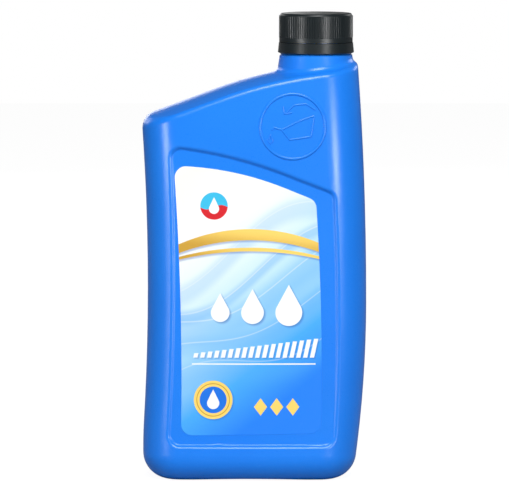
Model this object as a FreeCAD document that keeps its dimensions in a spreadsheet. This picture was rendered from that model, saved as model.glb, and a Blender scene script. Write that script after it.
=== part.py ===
import FreeCAD, Part
import math
import os
import Sketcher

# A one-quart motor oil bottle: a blown shell with its neck off to one side, a label panel
# sunk in the front and back, a screw cap, its liner, a tamper band and a front label.
# Lengths are in millimetres. +Z is up, the front faces -Y, and the origin is under the
# middle of the bottle on the surface it stands on.

SIZES = {
    # overall body
    "body_width": 111.5,
    "body_depth": 56.0,
    "wall": 1.0,
    "face_crown_radius": 620.0,
    "lean_start": 138.0,
    "lean_radius": 560.0,
    "corner_radius": 19.0,
    "heel_radius": 13.5,
    # the bowed sides, seen from the front
    "waist_height": 98.5,
    "waist_dip": 2.55,
    "waist_radius": 1150.0,
    "foot_turn_height": 30.0,
    "foot_turn_radius": 250.0,
    "belly_height": 88.0,
    "belly_radius_above": 1650.0,
    "belly_radius_below": 580.0,
    # shoulder, bending at a distance from the left side
    "shoulder_run": 35.75,
    "shoulder_height": 194.5,
    "shoulder_slope": 20.4,
    "shoulder_bend_radius": 207.0,
    "shoulder_crown_radius": 70.0,
    "shoulder_edge_radius": 3.0,
    "shoulder_tip_radius": 8.0,
    # collar under the neck
    "neck_from_side": 25.15,
    "collar_step": 3.25,
    "collar_rise": 17.6,
    "collar_flare": 2.2,
    "collar_flare_height": 16.0,
    "collar_fillet": 3.2,
    "collar_bevel": 0.7,
    # panel sunk in the front and back, placed from the sides and the shoulder
    "panel_depth": 1.7,
    "panel_side_low_left": 12.75,
    "panel_side_high_left": 14.15,
    "panel_left_bow": 1400.0,
    "panel_side_low_right": 15.85,
    "panel_side_high_right": 16.55,
    "panel_right_bow": 1280.0,
    "panel_low": 18.3,
    "panel_top_drop": 50.3,
    "panel_top_slope": 21.4,
    "panel_top_run": 24.2,
    "panel_top_bow": 210.0,
    "panel_low_corner": 5.5,
    "panel_left_corner": 5.0,
    "panel_right_corner": 4.0,
    "panel_floor_fillet": 1.2,
    "panel_rim_fillet": 2.0,
    # raised ring on the shoulder, placed from the neck and the shoulder
    "ring_from_neck": 11.75,
    "ring_drop": 17.1,
    "ring_radius": 16.0,
    "ring_width": 1.7,
    "ring_rise": 0.4,
    # foot
    "arch_side_left": 20.75,
    "arch_side_right": 25.75,
    "arch_rise": 1.0,
    "push_side": 22.5,
    "push_front": 17.0,
    "push_rise": 3.0,
    "push_corner": 9.0,
    "push_fillet": 2.4,
    "seam_end_gap": 10.0,
    "seam_thickness": 1.0,
    "seam_drop": 0.8,
    # front label, a thin film on the floor of the front panel, placed from the panel's edges
    "label_film": 0.12,
    "label_gap_low_left": 6.5,
    "label_gap_high_left": 1.8,
    "label_left_bow": 1500.0,
    "label_gap_low_right": 6.9,
    "label_gap_high_right": 8.8,
    "label_right_bow": 1270.0,
    "label_gap_left_foot": 5.3,
    "label_gap_right_foot": 6.4,
    "label_gap_top": 3.6,
    "label_top_slope": 22.0,
    "label_top_run": 15.4,
    "label_top_bow": 150.0,
    "label_corner": 5.5,
    # neck finish, with heights from the top of the collar
    "finish_radius": 14.85,
    "finish_wall": 2.35,
    "finish_height": 17.7,
    "mouth_bevel": 0.5,
    "bead_depth": 1.35,
    "bead_rise": 3.8,
    "bead_height": 1.4,
    "thread_depth": 1.2,
    "thread_pitch": 4.23,
    "thread_base": 2.4,
    "thread_crest": 0.9,
    "thread_rise": 7.6,
    "thread_turns": 1.6,
    # liner and cap
    "liner_thickness": 1.0,
    "liner_clearance": 0.25,
    "cap_top_thickness": 1.5,
    "cap_clearance": 0.3,
    "cap_wall": 1.7,
    "cap_collar_step": 0.25,
    "cap_collar_height": 2.6,
    "cap_rise": 5.8,
    "cap_top_edge": 1.3,
    "cap_thread_clearance": 0.35,
    "cap_thread_turns": 1.5,
    "rib_count": 96.0,
    "rib_rise": 0.35,
    "rib_base": 0.75,
    "rib_crest": 0.35,
    # tamper band
    "band_top_gap": 0.25,
    "band_clearance": 0.35,
    "band_wall": 1.95,
    "band_flare": 0.45,
    "band_bevel": 0.7,
    "band_lip_clearance": 0.75,
    "band_lip_height": 0.9,
    "band_lip_gap": 0.35,
    "bridge_gap": 0.05,
    "bridge_width": 0.9,
    "bridge_count": 8.0,
    # room left round the blank that the body is cut from
    "blank_margin": 6.0,
}

doc = FreeCAD.newDocument("motor_oil_bottle")
sheet = doc.addObject("Spreadsheet::Sheet", "Sizes")
for row, (name, value) in enumerate(SIZES.items(), start=1):
    sheet.set(f"A{row}", name)
    sheet.set(f"B{row}", str(value))
    sheet.setAlias(f"B{row}", name)
doc.recompute()


class Dim:
    """A length with the expression that gives it, so that both stay together."""

    def __init__(self, value, text):
        self.value = float(value)
        self.text = text

    @staticmethod
    def of(other):
        return other if isinstance(other, Dim) else Dim(other, f"({other})")

    def __add__(self, other):
        other = Dim.of(other)
        return Dim(self.value + other.value, f"({self.text} + {other.text})")

    def __sub__(self, other):
        other = Dim.of(other)
        return Dim(self.value - other.value, f"({self.text} - {other.text})")

    def __mul__(self, other):
        other = Dim.of(other)
        return Dim(self.value * other.value, f"({self.text} * {other.text})")

    def __truediv__(self, other):
        other = Dim.of(other)
        return Dim(self.value / other.value, f"({self.text} / {other.text})")

    def __radd__(self, other):
        return Dim.of(other) + self

    def __rsub__(self, other):
        return Dim.of(other) - self

    def __rmul__(self, other):
        return Dim.of(other) * self

    def __neg__(self):
        return 0 - self


placed = {}


def size(name):
    """A size from the sheet, or one that was placed from those."""
    return placed[name] if name in placed else Dim(sheet.get(name), f"Sizes.{name}")


def root(dim):
    return Dim(math.sqrt(dim.value), f"sqrt({dim.text})")


def sine(dim):
    return Dim(math.sin(math.radians(dim.value)), f"sin({dim.text})")


def cosine(dim):
    return Dim(math.cos(math.radians(dim.value)), f"cos({dim.text})")


def tangent(dim):
    return Dim(math.tan(math.radians(dim.value)), f"tan({dim.text})")


def sagitta(radius, run):
    """How far an arc of that radius falls away from its tangent after a run."""
    return radius - root(radius * radius - run * run)


def least(one, other):
    return Dim(min(one.value, other.value), f"min({one.text}; {other.text})")


half_width = size("body_width") / 2
half_depth = size("body_depth") / 2
placed["shoulder_bend_x"] = size("shoulder_run") - half_width
placed["neck_offset"] = half_width - size("neck_from_side")
placed["collar_radius"] = size("finish_radius") + size("collar_step")
placed["collar_top"] = size("shoulder_height") + size("collar_rise")
placed["blank_half_width"] = half_width + size("blank_margin") * 3
placed["blank_height"] = size("collar_top") + size("blank_margin") * 5
placed["blank_top"] = size("collar_top") + size("blank_margin") / 4
placed["panel_left_low"] = size("panel_side_low_left") - half_width
placed["panel_left_high"] = size("panel_side_high_left") - half_width
placed["panel_right_low"] = half_width - size("panel_side_low_right")
placed["panel_right_high"] = half_width - size("panel_side_high_right")
placed["panel_top_right"] = size("shoulder_height") - size("panel_top_drop")
placed["panel_top_bend_x"] = size("panel_right_high") - size("panel_top_run")
placed["label_left_low"] = size("panel_left_low") + size("label_gap_low_left")
placed["label_left_high"] = size("panel_left_high") + size("label_gap_high_left")
placed["label_right_low"] = size("panel_right_low") - size("label_gap_low_right")
placed["label_right_high"] = size("panel_right_high") - size("label_gap_high_right")
placed["label_low_left"] = size("panel_low") + size("label_gap_left_foot")
placed["label_low_right"] = size("panel_low") + size("label_gap_right_foot")
placed["label_top_right"] = size("panel_top_right") - size("label_gap_top")
placed["label_top_bend_x"] = size("label_right_high") - size("label_top_run")
placed["ring_x"] = size("neck_offset") - size("ring_from_neck")
placed["ring_height"] = size("shoulder_height") - size("ring_drop")
placed["arch_left"] = size("arch_side_left") - half_width
placed["arch_right"] = half_width - size("arch_side_right")
placed["push_half_width"] = half_width - size("push_side")
placed["push_half_depth"] = half_depth - size("push_front")
placed["seam_half_width"] = size("push_half_width") - size("seam_end_gap")
placed["bore_radius"] = size("finish_radius") - size("finish_wall")
placed["mouth_height"] = size("collar_top") + size("finish_height")
placed["bead_radius"] = size("finish_radius") + size("bead_depth")
placed["bead_low"] = size("collar_top") + size("bead_rise")
placed["bead_high"] = size("bead_low") + size("bead_height")
placed["thread_radius"] = size("finish_radius") + size("thread_depth")
placed["thread_start"] = size("collar_top") + size("thread_rise")
placed["cap_low"] = size("collar_top") + size("cap_rise")
placed["cap_inner_radius"] = size("thread_radius") + size("cap_clearance")
placed["cap_root_radius"] = size("cap_inner_radius") + size("cap_wall")
placed["cap_collar_radius"] = size("cap_root_radius") + size("cap_collar_step")
placed["cap_thread_radius"] = size("finish_radius") + size("cap_thread_clearance")
placed["liner_radius"] = size("cap_inner_radius") - size("liner_clearance")
placed["band_inner_radius"] = size("bead_radius") + size("band_clearance")
placed["band_top_radius"] = size("band_inner_radius") + size("band_wall")
placed["band_lip_radius"] = size("finish_radius") + size("band_lip_clearance")


def bind(item, prop, dim):
    dim = Dim.of(dim)
    item.setExpression(prop, dim.text)


def sketch_on(body, name, plane, offset=None):
    sketch = body.newObject("Sketcher::SketchObject", name)
    role = [o for o in body.Origin.OriginFeatures if o.Role == plane][0]
    sketch.AttachmentSupport = [(role, "")]
    sketch.MapMode = "FlatFace"
    if offset is not None:
        sketch.AttachmentOffset = FreeCAD.Placement(FreeCAD.Vector(0, 0, offset.value), FreeCAD.Rotation())
        bind(sketch, "AttachmentOffset.Base.z", offset)
    return sketch


def fix(sketch, kind, dim, *where):
    index = sketch.addConstraint(Sketcher.Constraint(kind, *where, dim.value))
    sketch.setExpression(f"Constraints[{index}]", dim.text)


def draw(sketch, corners, radii=None, closed=True):
    """Draws straight and round stretches through the corners. A radius of None is a straight
    stretch; (radius, 1) bulges to the left of the way round and (radius, -1) to the right."""
    corners = [(Dim.of(x), Dim.of(y)) for x, y in corners]
    count = len(corners) if closed else len(corners) - 1
    radii = radii or [None] * count
    ends = []
    for i in range(count):
        (x0, y0), (x1, y1) = corners[i], corners[(i + 1) % len(corners)]
        a = FreeCAD.Vector(x0.value, y0.value, 0)
        b = FreeCAD.Vector(x1.value, y1.value, 0)
        if radii[i] is None:
            index = sketch.addGeometry(Part.LineSegment(a, b))
            ends.append((index, 1, 2))
            continue
        radius, side = radii[i]
        chord = b - a
        half = chord.Length / 2
        left = FreeCAD.Vector(-chord.y, chord.x, 0).normalize()
        middle = (a + b) / 2
        centre = middle - left * (side * math.sqrt(max(radius.value**2 - half**2, 0)))
        start, end = (b, a) if side > 0 else (a, b)
        first = math.atan2(start.y - centre.y, start.x - centre.x)
        last = math.atan2(end.y - centre.y, end.x - centre.x)
        if last < first:
            last += 2 * math.pi
        circle = Part.Circle(centre, FreeCAD.Vector(0, 0, 1), radius.value)
        index = sketch.addGeometry(Part.ArcOfCircle(circle, first, last))
        ends.append((index, 2, 1) if side > 0 else (index, 1, 2))
        fix(sketch, "Radius", radius, index)
    for i in range(count if closed else count - 1):
        here, there = ends[i], ends[(i + 1) % count]
        sketch.addConstraint(Sketcher.Constraint("Coincident", here[0], here[2], there[0], there[1]))
    places = [(ends[i][0], ends[i][1]) for i in range(count)]
    if not closed:
        places.append((ends[-1][0], ends[-1][2]))
    for (x, y), (index, point) in zip(corners, places):
        fix(sketch, "DistanceX", x, index, point)
        fix(sketch, "DistanceY", y, index, point)
    return ends


def add(body, kind, name, **settings):
    item = body.newObject(f"PartDesign::{kind}", name)
    for key, value in settings.items():
        if isinstance(value, Dim):
            setattr(item, key, value.value)
            bind(item, key, value)
        else:
            setattr(item, key, value)
    return item


def origin_plane(body, role):
    return [o for o in body.Origin.OriginFeatures if o.Role == role][0]


def edges_where(item, test):
    return [f"Edge{i}" for i, edge in enumerate(item.Shape.Edges, start=1) if test(edge)]


def middle_of(edge):
    return edge.valueAt((edge.FirstParameter + edge.LastParameter) / 2)


def heading_of(edge):
    return edge.tangentAt((edge.FirstParameter + edge.LastParameter) / 2)


def face_blank(label, inset):
    """The body's front and back faces, wide of its sides: crowned across, and leaning in above."""
    body = doc.addObject("PartDesign::Body", label)
    margin = size("blank_margin")
    half_width = size("blank_half_width")
    front = size("body_depth") / 2 - inset
    crown = size("face_crown_radius") - inset
    back = size("corner_radius") / 2
    plan = sketch_on(body, label + "_plan", "XY_Plane", -margin)
    edge = sagitta(crown, half_width) - front
    draw(
        plan,
        [(-half_width, edge), (half_width, edge), (half_width, back), (-half_width, back)],
        [(crown, -1), None, None, None],
    )
    lean = size("lean_radius") - inset
    rise = size("blank_height") - size("lean_start")
    path = sketch_on(body, label + "_path", "YZ_Plane")
    draw(
        path,
        [
            (-front, -margin),
            (-front, size("lean_start")),
            (sagitta(lean, rise) - front, size("blank_height")),
        ],
        [None, (lean, 1)],
        closed=False,
    )
    doc.recompute()
    pipe = add(body, "AdditivePipe", label + "_sweep", Profile=plan, Spine=(path, ["Edge1", "Edge2"]))
    doc.recompute()
    mirror = add(body, "Mirrored", label + "_mirror", Originals=[pipe])
    mirror.MirrorPlane = (origin_plane(body, "XZ_Plane"), [""])
    body.Tip = mirror
    doc.recompute()
    return body


def side_ring(body, label, inset):
    """Seen from the front: everything outside the bowed sides, to be cut away."""
    half = size("body_width") / 2
    waist = size("waist_height")
    hollow = size("waist_radius") + inset
    foot = size("foot_turn_radius") - inset
    foot_z = size("foot_turn_height")
    belly = size("belly_height")
    above = size("belly_radius_above") - inset
    below = size("belly_radius_below") - inset
    top = size("blank_top")
    left = -half + size("waist_dip") + inset
    # the turn from the hollow side to the rounded foot lies where both arcs lean the same way
    lean = (waist - foot_z) / size("waist_radius")
    turn_z = waist - hollow * lean
    turn_x = left - sagitta(hollow, hollow * lean)
    foot_centre_z = turn_z - foot * lean
    foot_centre_x = turn_x + root(foot * foot - foot * lean * foot * lean)
    foot_low_x = foot_centre_x - root(foot * foot - (foot_centre_z - inset) * (foot_centre_z - inset))
    right = half - inset
    low_z = Dim.of(inset)
    ring = sketch_on(body, label + "_sides", "XZ_Plane")
    margin = size("blank_margin")
    far = size("blank_half_width") + margin
    above_all = size("blank_height") + margin
    draw(ring, [(-far, -margin * 2), (far, -margin * 2), (far, above_all), (-far, above_all)])
    draw(
        ring,
        [
            (foot_low_x, low_z),
            (turn_x, turn_z),
            (left - sagitta(hollow, top - waist), top),
            (right - sagitta(above, top - belly), top),
            (right, belly),
            (right - sagitta(below, belly - low_z), low_z),
        ],
        [(foot, 1), (hollow, -1), None, (above, 1), (below, 1), None],
    )
    doc.recompute()
    return add(body, "Pocket", label + "_trim", Profile=ring, Type="ThroughAll", SideType="Symmetric")


def envelope(label, inset):
    """The body as far as its sides and foot go, with its round corners, taller than the shoulder."""
    body = face_blank(label, inset)
    cut = side_ring(body, label, inset)
    body.Tip = cut
    doc.recompute()
    upright = edges_where(cut, lambda e: abs(heading_of(e).z) > 0.9 and abs(middle_of(e).y) > 12)
    # at the top the faces lean in, and the corners may not meet there
    room = half_depth - inset - sagitta(size("lean_radius"), size("blank_top") - size("lean_start"))
    room = room - sagitta(size("face_crown_radius"), half_width) - size("shoulder_edge_radius") / 6
    corner = least(size("corner_radius") - inset, room)
    corners = add(body, "Fillet", label + "_corners", Base=(cut, upright), Radius=corner)
    doc.recompute()
    low = Dim.of(inset).value
    bottom = edges_where(corners, lambda e: e.BoundBox.ZMax < low + 0.01)
    add(body, "Fillet", label + "_heel", Base=(corners, bottom), Radius=size("heel_radius") - inset)
    doc.recompute()
    return body


def sharp_edges(shape, low, high):
    """Edges between two heights where the faces meet at a clear angle."""
    found = []
    for i, edge in enumerate(shape.Edges, start=1):
        if edge.Degenerated or edge.Length < 0.05:
            continue
        middle = middle_of(edge)
        if not low < middle.z < high:
            continue
        normals = []
        for face in shape.ancestorsOfType(edge, Part.Face):
            u, v = face.Surface.parameter(middle)
            normals.append(face.normalAt(u, v))
        if len(normals) == 2 and normals[0].dot(normals[1]) < 0.95:
            found.append(i)
    return found


def along_chain(shape, picked):
    """The picked edges, each with its ends in the order of the chain that the edges make, because
    a fillet whose radius changes along an edge takes its radii in the direction of the chain."""
    left = list(picked)
    found = []
    tail = None
    while left:
        rows = []
        for i in left:
            edge = shape.Edges[i - 1]
            start, end = edge.valueAt(edge.FirstParameter), edge.valueAt(edge.LastParameter)
            rows.append((i, start, end))
            rows.append((i, end, start))
        joined = [row for row in rows if tail is not None and row[1].distanceToPoint(tail) < 0.02]
        row = (joined or rows)[0]
        found.append(row)
        left.remove(row[0])
        tail = row[2]
    return found


def neck_sketch(body, name, plane="XZ_Plane", height=None):
    """A sketch whose upright axis is the middle of the neck."""
    sketch = sketch_on(body, name, plane)
    high = height.value if height is not None else 0
    sketch.AttachmentOffset = FreeCAD.Placement(
        FreeCAD.Vector(size("neck_offset").value, 0, high), FreeCAD.Rotation()
    )
    bind(sketch, "AttachmentOffset.Base.x", size("neck_offset"))
    if height is not None:
        bind(sketch, "AttachmentOffset.Base.z", height)
    return sketch


def turned(body, name, corners, radii=None):
    sketch = neck_sketch(body, name + "_profile")
    draw(sketch, corners, radii)
    solid = add(body, "Revolution", name, Profile=sketch, ReferenceAxis=(sketch, ["V_Axis"]), Angle=360.0)
    body.Tip = solid
    doc.recompute()
    return solid


def roof_block(label, inset):
    """A wide block under the sloping, crowned shoulder, with the neck's collar standing on it."""
    body = doc.addObject("PartDesign::Body", label)
    margin = size("blank_margin")
    half_width = size("blank_half_width")
    reach = size("body_depth") / 2 + margin
    top = size("blank_height")
    plan = sketch_on(body, label + "_plan", "XY_Plane", -margin)
    draw(plan, [(-half_width, -reach), (half_width, -reach), (half_width, reach), (-half_width, reach)])
    add(body, "Pad", label + "_blank", Profile=plan, Length=top + margin)
    slope = size("shoulder_slope")
    bend = size("shoulder_bend_radius") - inset
    bend_x = size("shoulder_bend_x") + inset * sine(slope)
    bend_z = size("shoulder_height") - inset * cosine(slope)
    centre_x = bend_x + bend * sine(slope)
    centre_z = bend_z - bend * cosine(slope)
    start_x = -half_width - margin
    start_z = bend_z - (bend_x - start_x) * tangent(slope)
    end_x = half_width + margin * 3
    end_z = centre_z + root(bend * bend - (end_x - centre_x) * (end_x - centre_x))
    path = sketch_on(body, label + "_path", "XZ_Plane")
    draw(path, [(start_x, start_z), (bend_x, bend_z), (end_x, end_z)], [None, (bend, 1)], closed=False)
    crown = size("shoulder_crown_radius") - inset
    wide = reach + margin
    section = sketch_on(body, label + "_section", "YZ_Plane", start_x)
    edge_z = start_z - sagitta(crown, wide)
    high = start_z + size("blank_height") - size("shoulder_height") + size("body_depth")
    draw(
        section,
        [(-wide, edge_z), (wide, edge_z), (wide, high), (-wide, high)],
        [(crown, 1), None, None, None],
    )
    doc.recompute()
    cut = add(body, "SubtractivePipe", label + "_shoulder", Profile=section, Spine=(path, ["Edge1", "Edge2"]))
    body.Tip = cut
    doc.recompute()
    low = size("shoulder_height") - size("body_depth")
    high = size("collar_top") - inset
    turn = high - size("collar_flare_height")
    narrow = size("collar_radius") - inset
    flared = narrow + size("collar_flare")
    bevel = size("collar_bevel")
    profile = [
        (Dim(0, "0"), low),
        (flared, low),
        (flared, turn),
        (narrow, high - bevel),
        (narrow - bevel, high),
        (Dim(0, "0"), high),
    ]
    collar = turned(body, label + "_collar", profile)
    return body, collar


def form(label, inset):
    """The closed shape of the body, shoulder and collar, a given distance in from the outside."""
    body = envelope(label, inset)
    roof, collar = roof_block(label + "_roof", inset)
    low = (size("collar_top") - size("collar_bevel") - inset).value - 0.1

    def on_collar(edge):
        faces = roof.Shape.ancestorsOfType(edge, Part.Face)
        flares = [face for face in faces if isinstance(face.Surface, Part.Cone)]
        return len(flares) == 1 and len(faces) == 2 and edge.BoundBox.ZMax < low

    seam = edges_where(roof, on_collar)
    rounded = add(roof, "Fillet", label + "_collar_round", Base=(collar, seam), Radius=size("collar_fillet"))
    roof.Tip = rounded
    doc.recompute()
    both = shared(label + "_form", [body, roof])
    edge_radius = (size("shoulder_edge_radius") - inset).value
    tip_radius = (size("shoulder_tip_radius") - inset).value
    left_end = 4 - size("body_width").value / 2
    creases = []
    for i, *ends in along_chain(both.Shape, sharp_edges(both.Shape, 120, low - 1)):
        radii = [tip_radius if end.x < left_end else edge_radius for end in ends]
        creases.append((i, radii[0], radii[1]))
    soft = doc.addObject("Part::Fillet", label + "_creases")
    soft.Base = both
    soft.Edges = creases
    doc.recompute()
    return soft


def bowed_outline(sketch, name, grow, low_left, low_right):
    """The slanting panel outline: bowed sides, and a straight top edge that bends down to the left."""
    left_low = size(f"{name}_left_low") - grow
    left_high = size(f"{name}_left_high") - grow
    right_low = size(f"{name}_right_low") + grow
    right_high = size(f"{name}_right_high") + grow
    slope = size(f"{name}_top_slope")
    bow = size(f"{name}_top_bow") + grow
    top_right = size(f"{name}_top_right") + grow / cosine(slope) - grow * tangent(slope)
    bend_x = size(f"{name}_top_bend_x") + grow * sine(slope)
    bend_z = top_right + (right_high - bend_x) * tangent(slope)
    centre_x = bend_x - bow * sine(slope)
    centre_z = bend_z - bow * cosine(slope)
    top_left = centre_z + root(bow * bow - (left_high - centre_x) * (left_high - centre_x))
    draw(
        sketch,
        [
            (left_low, low_left - grow),
            (right_low, low_right - grow),
            (right_high, top_right),
            (bend_x, bend_z),
            (left_high, top_left),
        ],
        [
            None,
            (size(f"{name}_right_bow"), -1),
            None,
            (bow, -1),
            (size(f"{name}_left_bow"), 1),
        ],
    )


def corner_edges(item, test):
    """Edges running front to back whose place seen from the front passes the test."""
    return edges_where(item, lambda e: abs(heading_of(e).y) > 0.99 and test(middle_of(e)))


def panel_tool(label, inset):
    """What is taken away in front to sink the panel, with a rounded foot to its walls."""
    prism = doc.addObject("PartDesign::Body", label + "_prism")
    outline = sketch_on(prism, label + "_outline", "XZ_Plane")
    low = size("panel_low")
    bowed_outline(outline, "panel", inset, low, low)
    reach = size("body_depth") / 2 + size("blank_margin")
    block = add(prism, "Pad", label + "_block", Profile=outline, Length=reach)
    doc.recompute()
    foot = corner_edges(block, lambda m: m.z < 60)
    first = add(prism, "Fillet", label + "_low_corners", Base=(block, foot), Radius=size("panel_low_corner") + inset)
    doc.recompute()
    left = corner_edges(first, lambda m: m.z > 140 and m.x < size("panel_left_high").value + 1)
    second = add(prism, "Fillet", label + "_left_corner", Base=(first, left), Radius=size("panel_left_corner") + inset)
    doc.recompute()
    right = corner_edges(second, lambda m: m.z > 130 and m.x > size("panel_right_high").value - 1)
    third = add(prism, "Fillet", label + "_right_corner", Base=(second, right), Radius=size("panel_right_corner") + inset)
    prism.Tip = third
    doc.recompute()
    floor = face_blank(label + "_floor", size("panel_depth") + inset)
    sunk = doc.addObject("Part::Cut", label + "_sunk")
    sunk.Base = prism
    sunk.Tool = floor
    doc.recompute()
    radius = (size("panel_floor_fillet") + inset).value
    limit = -size("body_depth").value / 2 - 2
    rim = []
    for i, edge in enumerate(sunk.Shape.Edges, start=1):
        if edge.BoundBox.YMin > limit and abs(heading_of(edge).y) < 0.9:
            rim.append((i, radius, radius))
    soft = doc.addObject("Part::Fillet", label)
    soft.Base = sunk
    soft.Edges = rim
    doc.recompute()
    return soft


def front_and_back(tool):
    mirrored = doc.addObject("Part::Mirroring", tool.Name + "_back")
    mirrored.Source = tool
    mirrored.Normal = (0, 1, 0)
    pair = doc.addObject("Part::Compound", tool.Name + "_pair")
    pair.Links = [tool, mirrored]
    doc.recompute()
    return pair


def foot_tool(label, inset):
    """What is taken away below: a shallow arch across the foot and a push-up inside it."""
    body = doc.addObject("PartDesign::Body", label)
    deep = size("body_depth") / 2 + size("blank_margin")
    half = (size("arch_right") - size("arch_left")) / 2
    rise = size("arch_rise")
    arch_radius = (half * half + rise * rise) / (rise * 2)
    arch = sketch_on(body, label + "_arch", "XZ_Plane")
    left = size("arch_left")
    right = size("arch_right")
    margin = size("blank_margin")
    draw(
        arch,
        [(left, inset), (left, -margin), (right, -margin), (right, inset)],
        [None, None, None, (arch_radius, -1)],
    )
    span = add(body, "Pad", label + "_span", Profile=arch, Length=deep * 2, SideType="Symmetric")
    doc.recompute()
    wide = size("push_half_width") + inset
    long = size("push_half_depth") + inset
    plan = sketch_on(body, label + "_plan", "XY_Plane", -margin)
    draw(plan, [(-wide, -long), (wide, -long), (wide, long), (-wide, long)])
    push = add(body, "Pad", label + "_push", Profile=plan, Length=size("push_rise") + margin + inset)
    doc.recompute()
    upright = edges_where(push, lambda e: abs(heading_of(e).z) > 0.99 and e.BoundBox.ZMax > 2)
    turn = least(size("push_corner") + inset, long - size("push_fillet") / 2)
    first = add(body, "Fillet", label + "_corners", Base=(push, upright), Radius=turn)
    doc.recompute()
    high = (size("push_rise") + inset).value - 0.01
    ceiling = edges_where(first, lambda e: e.BoundBox.ZMin > high)
    last = add(body, "Fillet", label + "_ceiling", Base=(first, ceiling), Radius=size("push_fillet"))
    body.Tip = last
    doc.recompute()
    return body


def fuse(label, parts):
    item = doc.addObject("Part::MultiFuse", label)
    item.Shapes = parts
    doc.recompute()
    return item


def shared(label, parts):
    item = doc.addObject("Part::MultiCommon", label)
    item.Shapes = parts
    doc.recompute()
    return item


def take(label, base, tool):
    item = doc.addObject("Part::Cut", label)
    item.Base = base
    item.Tool = tool
    doc.recompute()
    return item


def screw(body, name, foot_radius, crest_radius, middle, turns):
    """A right-hand thread ridge between two radii, starting at a height."""
    base = size("thread_base") / 2
    crest = size("thread_crest") / 2
    profile = neck_sketch(body, name + "_profile")
    draw(
        profile,
        [
            (foot_radius, middle - base),
            (crest_radius, middle - crest),
            (crest_radius, middle + crest),
            (foot_radius, middle + base),
        ],
    )
    doc.recompute()
    ridge = add(
        body,
        "AdditiveHelix",
        name,
        Profile=profile,
        ReferenceAxis=(profile, ["V_Axis"]),
        Mode="pitch-turns-angle",
        Pitch=size("thread_pitch"),
        Turns=turns,
    )
    body.Tip = ridge
    doc.recompute()
    return ridge


zero = Dim(0, "0")
wall = size("wall")

# outside of the bottle
outer = form("outer", zero)
panels = front_and_back(panel_tool("panel", zero))
foot = foot_tool("foot", zero)
sunk = take("sunk_shell", outer, fuse("hollows", [panels, foot]))

rimmed = doc.addObject("PartDesign::Body", "rimmed_shell")
rimmed.BaseFeature = sunk
doc.recompute()
base = rimmed.Group[0]
rim_low = size("panel_low").value - 1
rim_high = (size("shoulder_height") - size("panel_top_drop") / 2).value
rims = []
for i in sharp_edges(sunk.Shape, rim_low, rim_high):
    if abs(middle_of(sunk.Shape.Edges[i - 1]).y) > size("body_depth").value / 2 - 3:
        rims.append(f"Edge{i}")
eased = add(rimmed, "Fillet", "panel_rims", Base=(base, rims), Radius=size("panel_rim_fillet"))
rimmed.Tip = eased
doc.recompute()

# raised ring on the front of the shoulder, lying on the leaning face
ring_lean = (size("ring_height") - size("lean_start")) / size("lean_radius")
ring_side = size("ring_x") / size("face_crown_radius")
ring_front = root(1 - ring_lean * ring_lean - ring_side * ring_side)
face_y = sagitta(size("face_crown_radius"), size("ring_x")) - size("body_depth") / 2
face_y = face_y + sagitta(size("lean_radius"), size("ring_height") - size("lean_start"))
bead_radius = size("ring_width") / 2
ring = doc.addObject("Part::Torus", "ring_bead")
bind(ring, "Radius1", size("ring_radius"))
bind(ring, "Radius2", bead_radius)
bind(ring, "Placement.Base.x", size("ring_x"))
bind(ring, "Placement.Base.y", face_y + bead_radius - size("ring_rise"))
bind(ring, "Placement.Base.z", size("ring_height"))
bind(ring, "Placement.Rotation.Axis.x", ring_front)
bind(ring, "Placement.Rotation.Axis.y", ring_side)
bind(ring, "Placement.Rotation.Axis.z", zero)
ring.setExpression("Placement.Rotation.Angle", f"acos({ring_lean.text})")
doc.recompute()

# neck finish: wall, rolled lip, tamper bead and thread
finish = doc.addObject("PartDesign::Body", "finish")
mouth = size("mouth_height")
ease = size("mouth_bevel")
bead = size("bead_radius")
tube = size("finish_radius")
inside = size("bore_radius")
bead_low = size("bead_low")
bead_high = size("bead_high")
low = size("collar_top") - size("wall")
turned(
    finish,
    "finish_wall",
    [
        (inside, low),
        (tube, low),
        (tube, bead_low),
        (bead - 0.3, bead_low),
        (bead, bead_low + 0.3),
        (bead, bead_low + 0.6),
        (tube, bead_high),
        (tube, mouth - ease),
        (tube - ease, mouth),
        (inside + ease, mouth),
        (inside, mouth - ease),
    ],
)
sink = size("thread_base") / 6
thread_start = size("thread_start")
screw(finish, "neck_thread", tube - sink, size("thread_radius"), thread_start, size("thread_turns"))

# the seam left where the blown tube was pinched shut
pinch = doc.addObject("Part::Box", "pinch_seam")
bind(pinch, "Length", size("seam_half_width") * 2)
bind(pinch, "Width", size("seam_thickness"))
bind(pinch, "Height", size("seam_drop") + size("wall") / 2)
bind(pinch, "Placement.Base.x", -size("seam_half_width"))
bind(pinch, "Placement.Base.y", -size("seam_thickness") / 2)
bind(pinch, "Placement.Base.z", size("push_rise") - size("seam_drop"))
doc.recompute()

# inside of the bottle: the same shape one wall further in
cavity = form("inner", wall)
inner_panels = front_and_back(panel_tool("inner_panel", wall))
inner_foot = foot_tool("inner_foot", wall)
hollow = take("hollow", cavity, fuse("inner_hollows", [inner_panels, inner_foot]))
bore = doc.addObject("Part::Cylinder", "bore")
bind(bore, "Radius", size("bore_radius"))
bind(bore, "Height", size("blank_height") - size("shoulder_height"))
bind(bore, "Placement.Base.x", size("neck_offset"))
bind(bore, "Placement.Base.z", size("shoulder_height"))
doc.recompute()

solid_bottle = fuse("solid_bottle", [rimmed, ring, finish, pinch])
bottle = take("bottle", solid_bottle, fuse("inside", [hollow, bore]))

# liner and cap
liner = doc.addObject("PartDesign::Body", "cap_liner")
liner_top = mouth + size("liner_thickness")
liner_radius = size("liner_radius")
turned(liner, "liner_disc", [(zero, mouth), (liner_radius, mouth), (liner_radius, liner_top), (zero, liner_top)])

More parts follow.
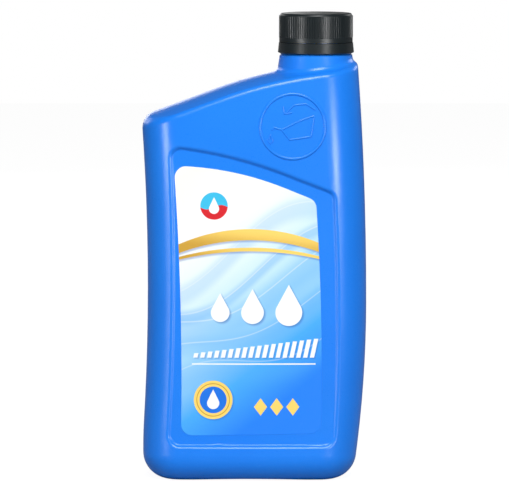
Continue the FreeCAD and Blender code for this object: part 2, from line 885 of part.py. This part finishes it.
cap = doc.addObject("PartDesign::Body", "screw_cap")
cap_top = liner_top + size("cap_top_thickness")
cap_low = size("cap_low")
cap_root = size("cap_root_radius")
cap_inner = size("cap_inner_radius")
cap_collar = size("cap_collar_radius")
rib_low = cap_low + size("cap_collar_height")
edge = size("cap_top_edge")
rib_rise = size("rib_rise")
turned(
    cap,
    "cap_wall",
    [
        (zero, liner_top),
        (cap_inner, liner_top),
        (cap_inner, cap_low),
        (cap_collar, cap_low),
        (cap_collar, rib_low - 0.3),
        (cap_root, rib_low),
        (cap_root, cap_top - edge),
        (cap_root - edge, cap_top),
        (zero, cap_top),
    ],
    [None, None, None, None, None, None, (edge, -1), None, None],
)
cap_start = thread_start + size("thread_pitch") / 2
screw(cap, "cap_thread", cap_inner + sink, size("cap_thread_radius"), cap_start, size("cap_thread_turns"))
rib = neck_sketch(cap, "rib_plan", "XY_Plane", rib_low - 0.3)
half_base = size("rib_base") / 2
half_crest = size("rib_crest") / 2
draw(
    rib,
    [
        (cap_root - rib_rise, -half_base),
        (cap_root, -half_base),
        (cap_root + rib_rise, -half_crest),
        (cap_root + rib_rise, half_crest),
        (cap_root, half_base),
        (cap_root - rib_rise, half_base),
    ],
)
rib_pad = add(cap, "Pad", "rib", Profile=rib, Length=cap_top - edge - rib_low + 0.3)
doc.recompute()
ribs = add(cap, "PolarPattern", "ribs", Originals=[rib_pad], Axis=(rib, ["N_Axis"]), Angle=360.0)
ribs.Occurrences = int(size("rib_count").value)
bind(ribs, "Occurrences", size("rib_count"))
cap.Tip = ribs
doc.recompute()

# tamper band, left on the neck under the bead, with the stubs of its bridges
band = doc.addObject("PartDesign::Body", "tamper_band")
band_low = size("collar_top")
band_high = cap_low - size("band_top_gap")
band_top = size("band_top_radius")
band_wide = band_top + size("band_flare")
band_in = size("band_inner_radius")
bevel = size("band_bevel")
lip = size("band_lip_radius")
lip_high = bead_low - size("band_lip_gap")
lip_low = lip_high - size("band_lip_height")
turned(
    band,
    "band_ring",
    [
        (band_in, band_low),
        (band_wide - bevel * 2, band_low),
        (band_wide, band_low + bevel),
        (band_top, band_high),
        (band_in, band_high),
        (band_in, lip_high),
        (lip, lip_high),
        (lip, lip_low),
        (band_in, lip_low - 0.4),
    ],
)
bridge = neck_sketch(band, "bridge_plan", "XY_Plane", band_high - 0.2)
half_bridge = size("bridge_width") / 2
draw(
    bridge,
    [
        (band_in + 0.4, -half_bridge),
        (band_top - 0.4, -half_bridge),
        (band_top - 0.4, half_bridge),
        (band_in + 0.4, half_bridge),
    ],
)
bridge_pad = add(band, "Pad", "bridge", Profile=bridge, Length=size("band_top_gap") + 0.2 - size("bridge_gap"))
doc.recompute()
bridges = add(band, "PolarPattern", "bridges", Originals=[bridge_pad], Axis=(bridge, ["N_Axis"]), Angle=360.0)
bridges.Occurrences = int(size("bridge_count").value)
bind(bridges, "Occurrences", size("bridge_count"))
band.Tip = bridges
doc.recompute()

# front label, a film that follows the floor of the panel
label_blank = doc.addObject("PartDesign::Body", "label_blank")
label_plan = sketch_on(label_blank, "label_plan", "XZ_Plane")
bowed_outline(label_plan, "label", zero, size("label_low_left"), size("label_low_right"))
label_pad = add(label_blank, "Pad", "label_pad", Profile=label_plan, Length=size("body_depth"))
doc.recompute()
turns = corner_edges(label_pad, lambda m: abs(m.x - size("label_top_bend_x").value) > 4)
label_turns = []
for name in turns:
    place = middle_of(label_pad.Shape.Edges[int(name[4:]) - 1])
    if place.x > size("label_right_high").value - 1 or place.x < size("label_left_low").value + 1:
        label_turns.append(name)
add(label_blank, "Fillet", "label_turns", Base=(label_pad, label_turns), Radius=size("label_corner"))
doc.recompute()
film = shared("label_film", [label_blank, face_blank("label_face", size("panel_depth") - size("label_film"))])
label = take("front_label", film, doc.getObject("panel_floor"))

nodes = [bottle, band, label, liner, cap]

for item in doc.Objects:
    if "Invalid" in item.State or "Error" in item.State:
        raise RuntimeError(f"{item.Name} did not build: {item.getStatusString()}")
for item in nodes:
    if item.Shape.isNull() or not item.Shape.isValid() or len(item.Shape.Solids) != 1:
        raise RuntimeError(f"{item.Label} is not one valid solid")

os.makedirs("parts", exist_ok=True)
for item in nodes:
    item.Shape.exportStep(f"parts/{item.Label}.step")
    box = item.Shape.BoundBox
    print(item.Label, [round(v, 2) for v in (box.XMin, box.XMax, box.YMin, box.YMax, box.ZMin, box.ZMax)])
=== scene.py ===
import math
import bpy
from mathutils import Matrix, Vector


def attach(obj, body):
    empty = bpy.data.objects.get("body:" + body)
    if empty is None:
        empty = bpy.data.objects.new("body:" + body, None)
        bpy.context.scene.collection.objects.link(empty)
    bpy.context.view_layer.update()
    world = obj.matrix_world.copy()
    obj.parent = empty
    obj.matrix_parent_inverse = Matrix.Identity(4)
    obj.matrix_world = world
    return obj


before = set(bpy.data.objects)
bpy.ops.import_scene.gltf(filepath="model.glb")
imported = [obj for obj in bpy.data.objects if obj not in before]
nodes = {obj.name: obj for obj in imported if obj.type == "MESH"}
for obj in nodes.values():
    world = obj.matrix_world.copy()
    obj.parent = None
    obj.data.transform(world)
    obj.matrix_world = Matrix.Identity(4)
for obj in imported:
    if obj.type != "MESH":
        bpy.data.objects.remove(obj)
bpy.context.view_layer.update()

scene = bpy.context.scene
print("frame loaded:", len(nodes), "nodes")

millimetres = 1000.0  # in a metre; the looks are given in mm, the scene is in metres
plasticIor = 1.5
bumpDistance = 0.0001  # metres that a bump height of 1 stands off the surface


class Value:
    # one shader value; arithmetic on it adds Math nodes to its tree
    def __init__(self, paint, socket):
        self.paint = paint
        self.socket = socket

    def math(self, operation, *others):
        return self.paint.node("ShaderNodeMath", {"operation": operation}, self, *others)

    def __add__(self, other):
        return self.math("ADD", other)

    def __radd__(self, other):
        return self.math("ADD", other)

    def __sub__(self, other):
        return self.math("SUBTRACT", other)

    def __rsub__(self, other):
        return self.paint.node("ShaderNodeMath", {"operation": "SUBTRACT"}, other, self)

    def __mul__(self, other):
        return self.math("MULTIPLY", other)

    def __truediv__(self, other):
        return self.math("DIVIDE", other)

    def __neg__(self):
        return self.math("MULTIPLY", -1.0)

    def __abs__(self):
        return self.math("ABSOLUTE")

    def most(self, other):
        return self.math("MAXIMUM", other)

    def least(self, other):
        return self.math("MINIMUM", other)


class Paint:
    # a material and the nodes that make it
    def __init__(self, name):
        self.material = bpy.data.materials.new(name)
        self.material.use_nodes = True
        self.tree = self.material.node_tree
        self.shader = self.tree.nodes["Principled BSDF"]

    def node(self, kind, settings=None, *inputs, output=0, **named):
        # settings are the node's own; its inputs are given in their order or by name
        made = self.tree.nodes.new(kind)
        for key, value in (settings or {}).items():
            setattr(made, key, value)
        for index, value in enumerate(inputs):
            self.feed(made.inputs[index], value)
        for key, value in named.items():
            self.feed(made.inputs[key.replace("_", " ")], value)
        return Value(self, made.outputs[output])

    def feed(self, socket, value):
        # links a shader value to a socket, or sets the socket to a number or a colour
        if isinstance(value, Value):
            self.tree.links.new(value.socket, socket)
        elif isinstance(value, (tuple, list)):
            socket.default_value = (*value, 1.0)
        else:
            socket.default_value = value

    def coords(self):
        # the place on the object, in metres
        return self.node("ShaderNodeTexCoord", output="Object")

    def axes(self, coords):
        # x, y and z on the object, in millimetres
        split = self.tree.nodes.new("ShaderNodeSeparateXYZ")
        self.feed(split.inputs[0], coords)
        return [Value(self, socket) * millimetres for socket in split.outputs]

    def step(self, value, low, high, first=0.0, last=1.0):
        # goes smoothly from first at low to last at high
        smooth = {"interpolation_type": "SMOOTHSTEP"}
        return self.node("ShaderNodeMapRange", smooth, value, low, high, first, last)

    def noise(self, coords, scale, detail, rough):
        kind = "ShaderNodeTexNoise"
        return self.node(kind, Vector=coords, Scale=scale, Detail=detail, Roughness=rough)

    def ramp(self, value, stops):
        # a colour read from a row of colours, each with its place between 0 and 1
        made = self.tree.nodes.new("ShaderNodeValToRGB")
        elements = made.color_ramp.elements
        for place, _ in stops[len(elements):]:
            elements.new(place)
        for element, (place, color) in zip(elements, stops):
            element.position = place
            element.color = (*color, 1.0)
        self.feed(made.inputs[0], value)
        return Value(self, made.outputs[0])

    def blend(self, factor, first, second):
        # a colour that goes from first to second
        mixed = self.tree.nodes.new("ShaderNodeMix")
        mixed.data_type = "RGBA"
        # sockets 6 and 7 are the two colours, socket 2 is the mixed one
        for index, value in ((0, factor), (6, first), (7, second)):
            self.feed(mixed.inputs[index], value)
        return Value(self, mixed.outputs[2])

    def bump(self, height, strength):
        kind = "ShaderNodeBump"
        normal = self.node(kind, Strength=strength, Distance=bumpDistance, Height=height)
        self.surface(Normal=normal)

    def surface(self, **values):
        for key, value in values.items():
            self.feed(self.shader.inputs[key.replace("_", " ")], value)


def linear(r, g, b):
    # a colour given from 0 to 255 as on a screen, turned linear by the sRGB curve
    out = []
    for part in (r, g, b):
        share = part / 255
        out.append(share / 12.92 if share <= 0.04045 else ((share + 0.055) / 1.055) ** 2.4)
    return tuple(out)


def dress(obj, material):
    obj.data.materials.clear()
    obj.data.materials.append(material)


# colours are given as on a screen, and each noise by its scale, detail and roughness
bottleLook = {
    "blue": (28, 131, 242),
    "blueDeep": (20, 121, 234),
    "blueRubbed": (96, 158, 240),
    "roughness": 0.29,
    "roughnessSpread": 0.10,
    "roughnessRubbed": 0.15,  # what rubbing adds
    "grain": (2600.0, 2.0, 0.6),  # fine sand-blasted texture of the mould
    "swell": (26.0, 2.0, 0.5),  # slow waves of a blown wall
    "scuff": (420.0, 4.0, 0.7),  # small rubbed spots
    "scuffRange": (0.62, 0.78),  # noise at which a spot starts and is full
    "rubbedHeights": (14.0, 2.0),  # mm above the table, where rubbing starts and is full
    "rubbedMost": 0.5,
    "partingHalf": 0.12,  # mm, half the width of the mould's parting line
    "partingFade": 2.4,  # times that half, where the line has faded
    "grainHeight": 0.10,
    "swellHeight": 1.6,
    "partingHeight": 0.5,
    "bumpStrength": 0.5,
}


def bluePlastic():
    look = bottleLook
    paint = Paint("bluePolyethylene")
    coords = paint.coords()
    _, y, z = paint.axes(coords)
    swell = paint.noise(coords, *look["swell"])
    grain = paint.noise(coords, *look["grain"])
    scuff = paint.step(paint.noise(coords, *look["scuff"]), *look["scuffRange"])
    rubbed = scuff * paint.step(z, *look["rubbedHeights"], 0.0, look["rubbedMost"])
    color = paint.blend(swell, linear(*look["blueDeep"]), linear(*look["blue"]))
    color = paint.blend(rubbed, color, linear(*look["blueRubbed"]))
    rough = look["roughness"] + (grain - 0.5) * look["roughnessSpread"]
    rough = rough + rubbed * look["roughnessRubbed"]
    paint.surface(Base_Color=color, Roughness=rough, IOR=plasticIor)
    faded = look["partingHalf"] * look["partingFade"]
    parting = 1.0 - paint.step(abs(y), look["partingHalf"], faded)
    height = grain * look["grainHeight"] + swell * look["swellHeight"]
    paint.bump(height + parting * look["partingHeight"], look["bumpStrength"])
    return paint.material


bottle = nodes["bottle"]
dress(bottle, bluePlastic())
print("bottle dressed")


signLook = {
    "center": (18.85, 177.4),  # mm, middle of the raised ring
    "scale": 1.18,  # times the points of the lines below
    "stroke": 1.05,  # mm, width of a raised line
    "rise": 0.40,  # mm, how far a line stands off the wall
    "pointStep": 0.0005,  # metres between the points of a line
    "sides": 14,  # of the bead's section
    # mm, the front face that the sign lies on: it is crowned, and leans in above leanStart
    "frontDepth": 28.0,
    "crownRadius": 620.0,
    "leanRadius": 560.0,
    "leanStart": 138.0,
    # a can tipped to the left, its spout, a falling drop and a bent arrow with its head
    "lines": [
        [(-4.6, -1.4), (-1.2, -5.6), (7.6, -4.3), (9.0, 4.4), (3.0, 2.4), (-4.6, -1.4)],
        [(-4.6, -1.4), (-7.9, -0.4), (-8.8, -1.6)],
        [(-9.3, -3.2), (-10.3, -5.6), (-9.3, -7.2), (-8.3, -5.6), (-9.3, -3.2)],
        [(-3.4, 5.2), (0.4, 8.8), (5.6, 9.4), (9.6, 6.9)],
        [(-3.9, 8.3), (-3.4, 5.2), (-0.3, 5.6)],
    ],
}


def shoulderPoint(x, z):
    # the place on the leaning, crowned front face, from mm to metres
    look = signLook
    crown = look["crownRadius"] - math.sqrt(look["crownRadius"] ** 2 - x * x)
    reach = look["leanRadius"] - crown
    lean = math.asin(max(0.0, z - look["leanStart"]) / reach)
    y = look["leanRadius"] - look["frontDepth"] - reach * math.cos(lean)
    return Vector((x, y, z)) / millimetres


def beadTree():
    # nodes that sweep an oval bead along curves, and the keys by which a modifier sets them
    tree = bpy.data.node_groups.new("raisedLine", "GeometryNodeTree")

    def socket(name, direction, kind):
        kind = "NodeSocket" + kind
        return tree.interface.new_socket(name=name, in_out=direction, socket_type=kind)

    def node(kind, settings=None, **inputs):
        made = tree.nodes.new(kind)
        for key, value in (settings or {}).items():
            setattr(made, key, value)
        for key, value in inputs.items():
            target = made.inputs[key.replace("_", " ")]
            if isinstance(value, bpy.types.NodeSocket):
                tree.links.new(value, target)
            else:
                target.default_value = value
        return made

    socket("Lines", "INPUT", "Geometry")
    keys = {
        "width": socket("Width", "INPUT", "Float").identifier,
        "rise": socket("Rise", "INPUT", "Float").identifier,
        "finish": socket("Finish", "INPUT", "Material").identifier,
    }
    socket("Bead", "OUTPUT", "Geometry")
    given = node("NodeGroupInput").outputs
    spread = node(
        "GeometryNodeResampleCurve",
        {"mode": "LENGTH"},
        Curve=given["Lines"],
        Length=signLook["pointStep"],
    )
    circle = node("GeometryNodeCurvePrimitiveCircle", Resolution=signLook["sides"], Radius=0.5)
    size = node("ShaderNodeCombineXYZ", X=given["Rise"], Y=given["Width"], Z=1.0)
    oval = node("GeometryNodeTransform", Geometry=circle.outputs["Curve"], Scale=size.outputs[0])
    bead = node(
        "GeometryNodeCurveToMesh",
        Curve=spread.outputs["Curve"],
        Profile_Curve=oval.outputs["Geometry"],
        Fill_Caps=True,
    )
    real = node("GeometryNodeRealizeInstances", Geometry=bead.outputs["Mesh"])
    painted = node(
        "GeometryNodeSetMaterial", Geometry=real.outputs["Geometry"], Material=given["Finish"]
    )
    node("NodeGroupOutput", Bead=painted.outputs["Geometry"])
    return tree, keys


def raisedSign(material):
    # lays the sign's lines on the shoulder and sweeps them into one mesh
    look = signLook
    curve = bpy.data.curves.new("pourSign", "CURVE")
    curve.dimensions = "3D"
    centerX, centerZ = look["center"]
    for line in look["lines"]:
        spline = curve.splines.new("POLY")
        spline.points.add(len(line) - 1)
        for point, (u, v) in zip(spline.points, line):
            place = shoulderPoint(centerX + u * look["scale"], centerZ + v * look["scale"])
            point.co = (*place, 1.0)
    holder = bpy.data.objects.new("pourSignLines", curve)
    scene.collection.objects.link(holder)
    tree, keys = beadTree()
    modifier = holder.modifiers.new("bead", "NODES")
    modifier.node_group = tree
    modifier[keys["width"]] = look["stroke"] / millimetres
    # the lines lie in the middle of the oval, so half of it is sunk in the wall
    modifier[keys["rise"]] = look["rise"] * 2 / millimetres
    modifier[keys["finish"]] = material
    depsgraph = bpy.context.evaluated_depsgraph_get()
    mesh = bpy.data.meshes.new_from_object(holder.evaluated_get(depsgraph))
    bpy.data.objects.remove(holder)
    sign = bpy.data.objects.new("pourSign", mesh)
    scene.collection.objects.link(sign)
    for face in mesh.polygons:
        face.use_smooth = True
    return sign


sign = raisedSign(bottle.data.materials[0])
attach(sign, "bottle")
print("sign raised:", len(sign.data.polygons), "faces")


capLook = {
    "black": (16, 24, 27),
    "worn": (25, 34, 37),
    "wear": (60.0, 3.0, 0.6),  # broad patches between the two colours
    "grain": (3200.0, 2.0, 0.6),
    "roughness": 0.34,
    "roughnessSpread": 0.15,
    "grainHeight": 0.2,
    "bumpStrength": 0.5,
}


def blackPlastic(name):
    look = capLook
    paint = Paint(name)
    coords = paint.coords()
    wear = paint.noise(coords, *look["wear"])
    grain = paint.noise(coords, *look["grain"])
    color = paint.blend(wear, linear(*look["black"]), linear(*look["worn"]))
    rough = look["roughness"] + (grain - 0.5) * look["roughnessSpread"]
    paint.surface(Base_Color=color, Roughness=rough, IOR=plasticIor)
    paint.bump(grain * look["grainHeight"], look["bumpStrength"])
    return paint.material


dress(nodes["screw_cap"], blackPlastic("capPlastic"))
dress(nodes["tamper_band"], blackPlastic("bandPlastic"))
print("cap dressed")


linerLook = {
    "pale": (0.78, 0.78, 0.75),  # linear colours, the pale one at the middle of a cell
    "deep": (0.70, 0.70, 0.67),
    "cellScale": 1800.0,
    "roughness": 0.6,
    "bumpStrength": 0.3,
}


def linerFoam():
    look = linerLook
    paint = Paint("linerFoam")
    cells = paint.node("ShaderNodeTexVoronoi", Vector=paint.coords(), Scale=look["cellScale"])
    color = paint.blend(cells, look["pale"], look["deep"])
    paint.surface(Base_Color=color, Roughness=look["roughness"])
    paint.bump(cells, look["bumpStrength"])
    return paint.material


dress(nodes["cap_liner"], linerFoam())
print("liner dressed")


# all in mm from the bottle's middle and the table; a shadow is its offset to the right and
# upwards, its softness and its strength; a drop is the middle, radius and tip height
labelLook = {
    "tints": {
        "white": (248, 250, 252),
        "gold": (250, 214, 110),
        "goldDeep": (205, 160, 62),
        "shade": (24, 82, 170),
        "wave": (84, 170, 236),
        "red": (214, 40, 48),
        "cyan": (62, 190, 232),
        "blue": (30, 116, 226),
    },
    "edge": 0.12,  # softness of a printed edge
    # the ground's colours, by how far they are from groundStart, times groundGrowth
    "ground": [
        (0.00, (251, 249, 235)),
        (0.22, (246, 249, 245)),
        (0.40, (222, 241, 250)),
        (0.57, (176, 222, 249)),
        (0.78, (72, 170, 248)),
        (0.95, (36, 130, 245)),
    ],
    "groundStart": (-38.0, 150.0),
    "groundGrowth": (0.35 / 72.0, 0.8 / 125.0),  # for each mm to the right, and down
    # broad see-through waves: height at the middle, swing, half width and strength
    "waves": [
        (118.0, 10.0, 5.0, 0.30),
        (104.0, 9.0, 3.2, 0.44),
        (92.0, 7.0, 7.5, 0.40),
        (78.0, 6.0, 4.6, 0.34),
        (60.0, 8.0, 6.4, 0.26),
    ],
    "waveTurn": 1 / 17.0,  # radians for each mm to the right
    "waveSlope": 0.42,
    "waveSoft": 0.7,  # of the half width
    "waveLine": (0.6, 0.25, 0.4),  # place in half widths, half width and softness
    # round badge, red under cyan
    "badge": {
        "disc": (-20.0, 138.0, 7.6),
        "rim": 0.8,
        "tide": (137.4, 1.1, 0.45),  # height, swing and turn of the line between the colours
        "tideSoft": 0.1,
        "drop": (-20.0, 136.6, 2.5, 5.8),
    },
    # two gold sickles: the tops of the lower and the upper arc, and their radii
    "sickles": [(121.0, 126.6, 100.0, 86.0), (115.5, 117.4, 150.0, 136.0)],
    "sickleMiddle": -2.0,
    "sickleShadow": (0.7, -0.9, 0.7, 0.5),
    "sickleGlow": (0.1, 6.0),  # its slope, and how far under the sickle it starts
    # three white drops: place and radius
    "drops": [(-17.0, 4.6), (-1.0, 5.6), (17.0, 6.6)],
    "dropHeight": 85.0,
    "dropLength": 2.1,  # tip height in radii
    "dropShadow": (0.8, -0.8, 0.8, 0.55),
    # row of rising bars on a thin rule
    "gauge": {
        "corner": (-31.0, 62.6),
        "pitch": 3.4,
        "count": 18,
        "lowest": 2.2,
        "growth": 0.42,
        "slant": 0.22,
        "halfBar": 0.30,  # of the pitch
        "shadow": (0.6, -0.6, 0.6, 0.4),
        "rule": (-0.4, 59.4, 30.6, 0.35),  # middle, half width and half height
        "ruleStrength": 0.85,
    },
    # gold ring round a drop
    "seal": {
        "disc": (-20.5, 41.5, 9.6),
        "shadowDisc": (-20.0, 41.0, 9.8),
        "shadowSoft": 0.8,
        "shadowStrength": 0.4,
        "groove": (1.5, 0.25),  # how far inside the edge, and half its width
        "ringWidth": 2.9,
        "drop": (-20.5, 39.9, 3.0, 6.8),
    },
    # gold lozenges: places, height, steepness both ways and size
    "lozenges": (3.0, 11.0, 19.0),
    "lozengeHeight": 38.0,
    "lozengeSlopes": (0.80, 0.60),
    "lozengeSize": 2.6,
    "roughness": 0.22,
    "roughnessSpread": 0.08,
    "swell": (60.0, 2.0, 0.5),
    "bumpStrength": 0.3,
}


class Print:
    # what is printed on the label: a colour that shapes are laid on, one over the other;
    # a shape is a distance in mm that is negative inside it
    def __init__(self, paint, x, z, color):
        self.paint = paint
        self.x = x
        self.z = z
        self.color = color
        self.tints = {name: linear(*rgb) for name, rgb in labelLook["tints"].items()}

    def lay(self, shape, tint, soft=labelLook["edge"], strength=1.0):
        # a tint is a name from the list or a shader value
        mask = self.paint.step(shape, -soft, soft, 1.0, 0.0) * strength
        self.color = self.paint.blend(mask, self.color, self.tints.get(tint, tint))

    def layShaded(self, shape, shadow, tint):
        # shape(right, up) gives the shape at an offset
        right, up, soft, strength = shadow
        self.lay(shape(right, up), "shade", soft, strength)
        self.lay(shape(0.0, 0.0), tint)

    def away(self, u, v):
        # how far it is from a point
        across = self.x - u
        up = self.z - v
        return (across * across + up * up).math("SQRT")

    def disc(self, u, v, radius):
        return self.away(u, v) - radius

    def bar(self, u, v, halfWidth, halfHeight):
        return (abs(self.x - u) - halfWidth).most(abs(self.z - v) - halfHeight)

    def drop(self, u, v, radius, tipHeight):
        # a disc with a straight-sided tip, upright
        lean = math.asin(radius / tipHeight)
        up = self.z - v
        slope = abs(self.x - u) * math.cos(lean) + up * math.sin(lean) - radius
        tip = slope.most(radius * math.sin(lean) - up)
        return self.disc(u, v, radius).least(tip)

    def sickle(self, u, low, high, lowRadius, highRadius):
        # what lies between two arcs that bulge upwards, given by their tops
        under = self.disc(u, low - lowRadius, lowRadius)
        over = self.disc(u, high - highRadius, highRadius)
        return over.most(-under)

    def risingBars(self, u, v, look):
        # a row of slanting bars that grow to the right
        pitch = look["pitch"]
        along = (self.x - u - (self.z - v) * look["slant"]) / pitch
        number = along.math("FLOOR")
        across = abs(along - number - 0.5) * pitch - pitch * look["halfBar"]
        height = number * look["growth"] + look["lowest"]
        up = abs(self.z - v - height * 0.5) - height * 0.5
        ends = (along * -pitch).most((along - look["count"]) * pitch)
        return across.most(up).most(ends)


def groundColor(paint, x, z):
    look = labelLook
    startX, startZ = look["groundStart"]
    perRight, perDown = look["groundGrowth"]
    run = (startZ - z) * perDown + (x - startX) * perRight
    return paint.ramp(run, [(place, linear(*rgb)) for place, rgb in look["ground"]])


def layWaves(marks):
    look = labelLook
    linePlace, lineHalf, lineSoft = look["waveLine"]
    for middle, swing, half, strength in look["waves"]:
        sway = ((marks.x + middle) * look["waveTurn"]).math("SINE") * swing
        crest = sway + marks.x * look["waveSlope"] + middle
        above = marks.z - crest
        marks.lay(abs(above) - half, "wave", half * look["waveSoft"], strength)
        marks.lay(abs(above - half * linePlace) - lineHalf, "white", lineSoft, strength)


def layBadge(marks):
    look = labelLook["badge"]
    disc = marks.disc(*look["disc"])
    tideHeight, swing, turn = look["tide"]
    tide = ((marks.x - look["disc"][0]) * turn).math("SINE") * swing + tideHeight
    over = marks.paint.step(marks.z - tide, -look["tideSoft"], look["tideSoft"])
    marks.lay(disc, "white")
    marks.lay(disc + look["rim"], marks.paint.blend(over, marks.tints["red"], marks.tints["cyan"]))
    marks.lay(marks.drop(*look["drop"]), "white")


def laySickles(marks):
    look = labelLook
    slope, under = look["sickleGlow"]
    for low, high, lowRadius, highRadius in look["sickles"]:

        def shape(right, up):
            middle = look["sickleMiddle"] + right
            return marks.sickle(middle, low + up, high + up, lowRadius, highRadius)

        glow = marks.paint.step(marks.z + marks.x * slope, low - under, high)
        gold = marks.paint.blend(glow, marks.tints["goldDeep"], marks.tints["gold"])
        marks.layShaded(shape, look["sickleShadow"], gold)


def layDrops(marks):
    look = labelLook
    for u, radius in look["drops"]:

        def shape(right, up):
            length = radius * look["dropLength"]
            return marks.drop(u + right, look["dropHeight"] + up, radius, length)

        marks.layShaded(shape, look["dropShadow"], "white")


def layGauge(marks):
    look = labelLook["gauge"]
    left, low = look["corner"]

    def shape(right, up):
        return marks.risingBars(left + right, low + up, look)

    marks.layShaded(shape, look["shadow"], "white")
    marks.lay(marks.bar(*look["rule"]), "white", strength=look["ruleStrength"])


def laySeal(marks):
    look = labelLook["seal"]
    disc = marks.disc(*look["disc"])
    depth, half = look["groove"]
    marks.lay(marks.disc(*look["shadowDisc"]), "shade", look["shadowSoft"], look["shadowStrength"])
    marks.lay(disc, "gold")
    marks.lay(abs(disc + depth) - half, "goldDeep")
    marks.lay(disc + look["ringWidth"], "blue")
    marks.lay(marks.drop(*look["drop"]), "white")


def layLozenges(marks):
    look = labelLook
    slopeX, slopeZ = look["lozengeSlopes"]
    for u in look["lozenges"]:
        reach = abs(marks.x - u) * slopeX + abs(marks.z - look["lozengeHeight"]) * slopeZ
        marks.lay(reach - look["lozengeSize"], "gold")


def labelPrint():
    look = labelLook
    paint = Paint("labelPrint")
    coords = paint.coords()
    x, _, z = paint.axes(coords)
    marks = Print(paint, x, z, groundColor(paint, x, z))
    for lay in (layWaves, layBadge, laySickles, layDrops, layGauge, laySeal, layLozenges):
        lay(marks)
    swell = paint.noise(coords, *look["swell"])
    rough = look["roughness"] + (swell - 0.5) * look["roughnessSpread"]
    paint.surface(Base_Color=marks.color, Roughness=rough, IOR=plasticIor)
    paint.bump(swell, look["bumpStrength"])
    return paint.material


dress(nodes["front_label"], labelPrint())
print("label dressed")


# in metres, but for the camera's sensor
studio = {
    "cameraDistance": 2.40,
    "cameraHeight": 0.337,
    "aimHeight": 0.1145,
    "frameWidth": 0.2545,  # what the camera sees at the bottle
    "sensorWidth": 36.0,
    "clipEnd": 20.0,
    "ambient": 0.12,
    "floorSize": 6.0,
    "floorColor": (0.25, 0.25, 0.25),  # what it throws back on the bottle
    "floorSeen": (0.9, 0.9, 0.9),  # what the camera sees
    "floorRoughness": 0.8,
    "floorShare": 0.85,  # share of plain white in what the camera sees
    "floorGlow": 1.12,
    "lampAim": 0.12,  # height of the point that the lamps are turned to
    # name, place, width, height and power of each soft lamp
    "lamps": [
        ("front", (0.15, -1.75, 1.95), 1.3, 0.9, 55.0),
        ("leftStrip", (-1.20, -1.12, 0.13), 0.34, 0.26, 6.4),
        ("rightStrip", (0.98, -1.55, 0.16), 0.34, 0.32, 10.0),
        ("backGlow", (-0.40, 1.90, 0.42), 0.9, 0.30, 2.6),
        ("backLeft", (-1.30, 1.45, 0.80), 0.8, 0.6, 3.0),
        ("backRight", (1.30, 1.45, 0.80), 0.8, 0.6, 5.0),
    ],
}


def aimed(name, data, place, aimHeight):
    # puts a camera or a lamp in the scene, turned to a point over the origin
    made = bpy.data.objects.new(name, data)
    aim = Vector((0.0, 0.0, aimHeight)) - Vector(place)
    made.location = place
    made.rotation_euler = aim.to_track_quat("-Z", "Y").to_euler()
    scene.collection.objects.link(made)
    return made, aim.length


def buildCamera():
    data = bpy.data.cameras.new("camera")
    place = (0.0, -studio["cameraDistance"], studio["cameraHeight"])
    scene.camera, distance = aimed("camera", data, place, studio["aimHeight"])
    data.sensor_width = studio["sensorWidth"]
    data.lens = data.sensor_width * distance / studio["frameWidth"]
    data.clip_end = studio["clipEnd"]


def softLamp(name, place, width, height, power):
    data = bpy.data.lights.new(name, "AREA")
    data.shape = "RECTANGLE"
    data.size = width
    data.size_y = height
    data.energy = power
    aimed(name, data, place, studio["lampAim"])


def buildWorld():
    # the camera sees plain white, and the bottle gets a weak light from all round
    world = bpy.data.worlds.new("studio")
    world.use_nodes = True
    scene.world = world
    tree = world.node_tree
    ambient = tree.nodes["Background"]
    seen = tree.nodes.new("ShaderNodeBackground")
    for background in (ambient, seen):
        background.inputs["Color"].default_value = (1.0, 1.0, 1.0, 1.0)
    ambient.inputs["Strength"].default_value = studio["ambient"]
    path = tree.nodes.new("ShaderNodeLightPath")
    mixed = tree.nodes.new("ShaderNodeMixShader")
    sources = (path.outputs["Is Camera Ray"], ambient.outputs[0], seen.outputs[0])
    for source, target in zip(sources, mixed.inputs):
        tree.links.new(source, target)
    tree.links.new(mixed.outputs[0], tree.nodes["World Output"].inputs[0])


def buildFloor():
    half = studio["floorSize"] / 2
    mesh = bpy.data.meshes.new("studioFloor")
    corners = [(-half, -half, 0.0), (half, -half, 0.0), (half, half, 0.0), (-half, half, 0.0)]
    mesh.from_pydata(corners, [], [(0, 1, 2, 3)])
    floor = bpy.data.objects.new("studioFloor", mesh)
    scene.collection.objects.link(floor)
    # what the camera sees of the floor is mostly plain white, and keeps a soft shadow
    paint = Paint("paleFloor")
    seen = paint.node("ShaderNodeLightPath", output="Is Camera Ray")
    color = paint.blend(seen, studio["floorColor"], studio["floorSeen"])
    paint.surface(Base_Color=color, Roughness=studio["floorRoughness"])
    glow = paint.node("ShaderNodeEmission", Strength=studio["floorGlow"])
    floorShader = Value(paint, paint.shader.outputs[0])
    mixed = paint.node(
        "ShaderNodeMixShader", None, seen * studio["floorShare"], floorShader, glow
    )
    paint.feed(paint.tree.nodes["Material Output"].inputs["Surface"], mixed)
    dress(floor, paint.material)


buildCamera()
buildWorld()
buildFloor()
for lamp in studio["lamps"]:
    softLamp(*lamp)
scene.view_settings.view_transform = "Standard"
print("studio built")
